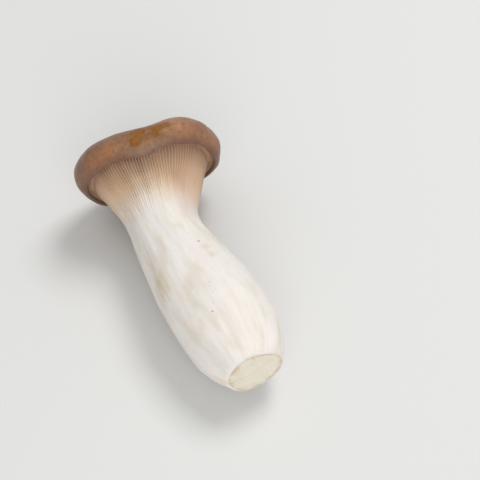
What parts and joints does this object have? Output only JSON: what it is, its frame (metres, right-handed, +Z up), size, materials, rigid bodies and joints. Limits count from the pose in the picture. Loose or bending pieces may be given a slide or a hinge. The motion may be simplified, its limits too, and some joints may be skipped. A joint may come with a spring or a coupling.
{
  "type": "king oyster mushroom",
  "caption": "Whole picked king oyster mushroom on its side: thick pale stem with a trimmed foot, fine gills running down the neck, and a brown cap with a rolled margin.",
  "frame": {"origin": "centre of the bounding box's bottom face, on the surface that the mushroom lies on", "axes": "+Y from the trimmed foot along the stem to the cap, +Z up from the surface, +X to the right when looking from the foot to the cap"},
  "size_m": [0.0614, 0.1224, 0.0572],
  "materials": {
    "mushroom_flesh": "matte"
  },
  "bodies": {
    "root": {"king_oyster_mushroom": "mushroom_flesh"}
  },
  "joints": []
}
